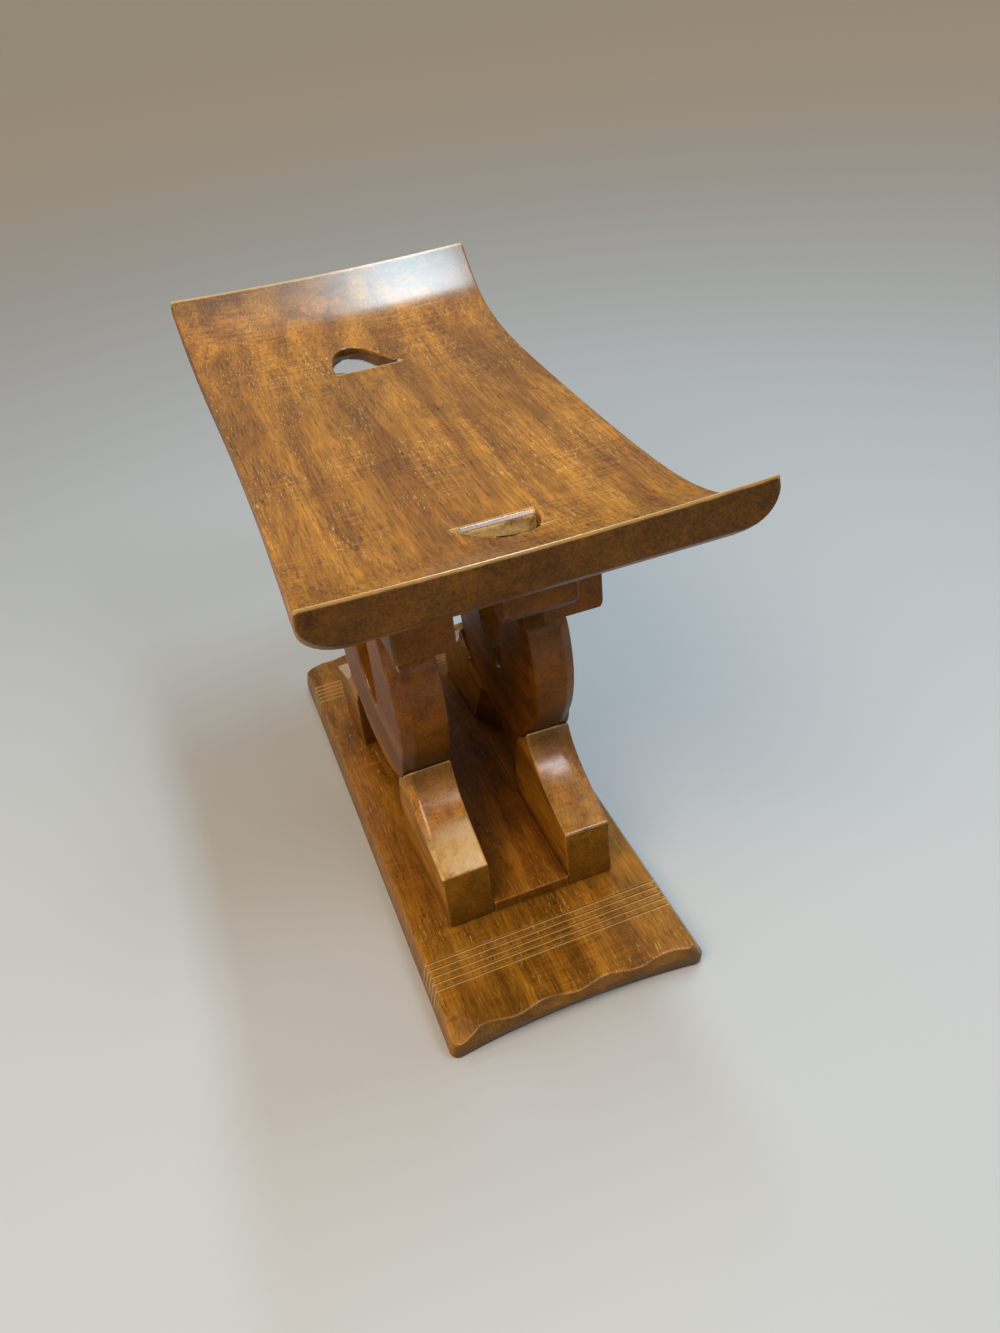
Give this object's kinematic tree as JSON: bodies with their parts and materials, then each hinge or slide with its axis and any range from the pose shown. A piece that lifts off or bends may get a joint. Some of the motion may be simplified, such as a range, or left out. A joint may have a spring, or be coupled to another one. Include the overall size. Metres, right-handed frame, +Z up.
{
  "type": "carved wooden stool",
  "caption": "Low wooden stool: long seat that sweeps up at both ends, with a hand hole near each, on crescent-shaped side panels over a heavy base board.",
  "frame": {"origin": "on the floor, under the middle of the seat", "axes": "+X along the seat towards the near end of the picture, +Y across it towards the right of the picture, +Z up"},
  "size_m": [0.56, 0.2956, 0.4622],
  "materials": {
    "seat_wood": "polished golden brown, fine pale flecks",
    "base_wood": "polished golden brown, worn pale edges",
    "panel_wood": "polished mid brown",
    "channel_wood": "dull dark brown"
  },
  "bodies": {
    "root": {"seat": "seat_wood", "base_board": "base_wood", "channel_floor": "channel_wood", "grip_batten": "panel_wood", "crescent_left": "panel_wood", "arch_web_left": "channel_wood", "foot_near_left": "base_wood", "head_near_left": "panel_wood", "foot_far_left": "base_wood", "head_far_left": "panel_wood", "crescent_right": "panel_wood", "arch_web_right": "channel_wood", "foot_near_right": "base_wood", "head_near_right": "panel_wood", "foot_far_right": "base_wood", "head_far_right": "panel_wood"}
  },
  "joints": []
}
